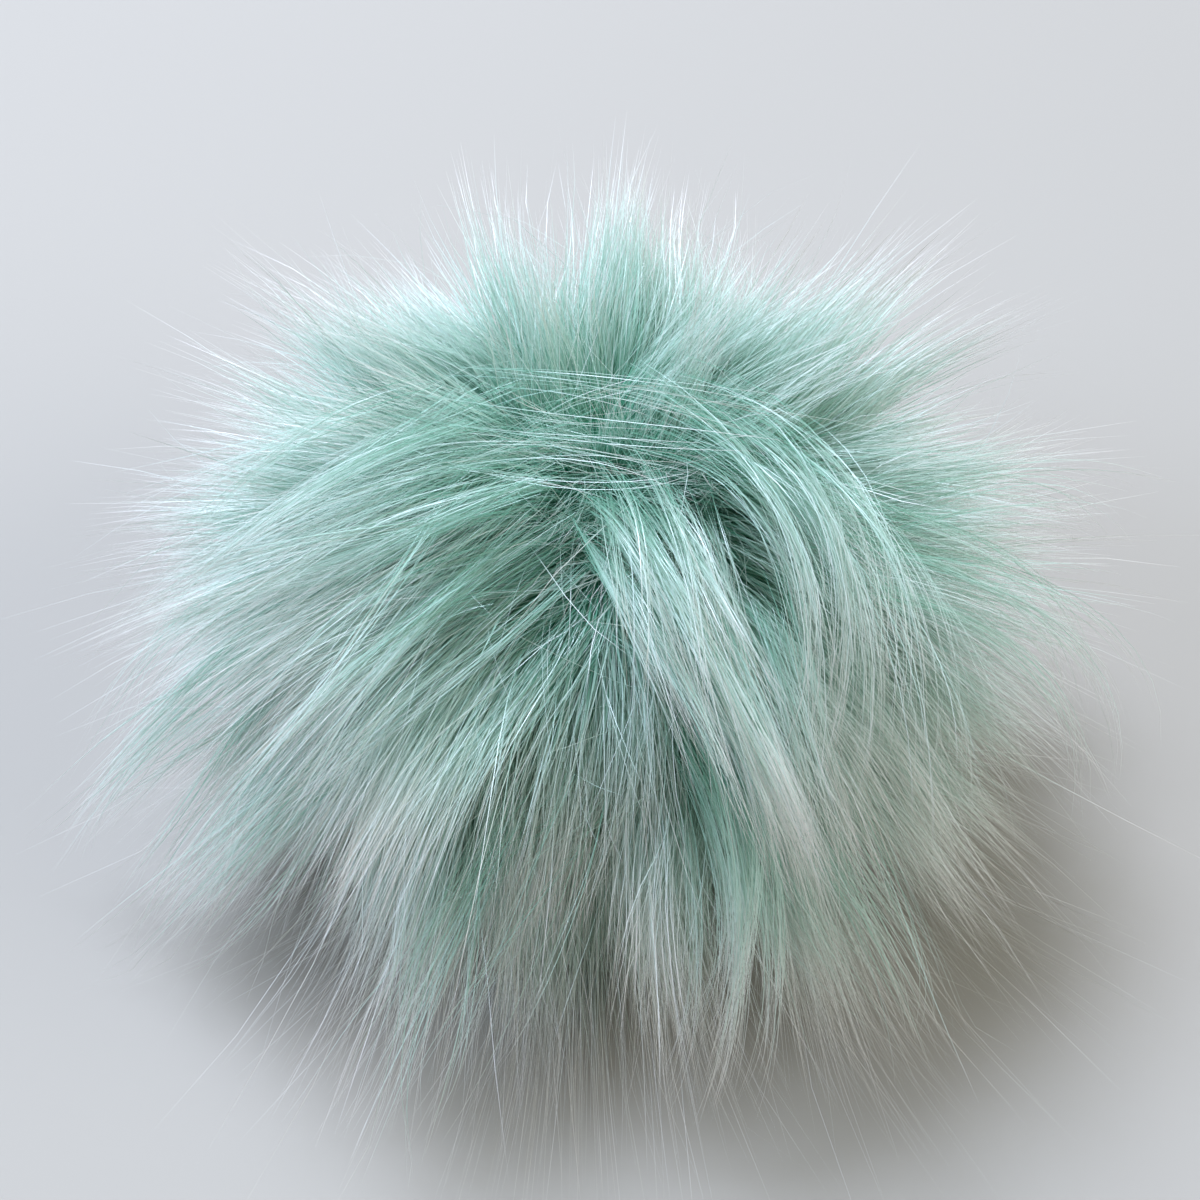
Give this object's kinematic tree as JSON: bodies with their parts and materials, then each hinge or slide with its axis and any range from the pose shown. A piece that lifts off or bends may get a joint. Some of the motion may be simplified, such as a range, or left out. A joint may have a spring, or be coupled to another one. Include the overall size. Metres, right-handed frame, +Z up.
{
  "type": "pom pom",
  "caption": "Round long-pile faux-fur pom pom with straight tufts over the back and long locks falling over the front, resting on its gathered side.",
  "frame": {"origin": "middle of the underside of the bounding box, on the plane that the pom pom rests on", "axes": "+Z up out of the resting plane; -Y is the front, where the long locks fall; +X is to the right, seen from the front"},
  "size_m": [0.1592, 0.145, 0.0869],
  "materials": {
    "mint_pile": "long soft pile, mint at the roots and paler at the tips"
  },
  "bodies": {
    "root": {"fur_ball": "mint_pile"}
  },
  "joints": []
}
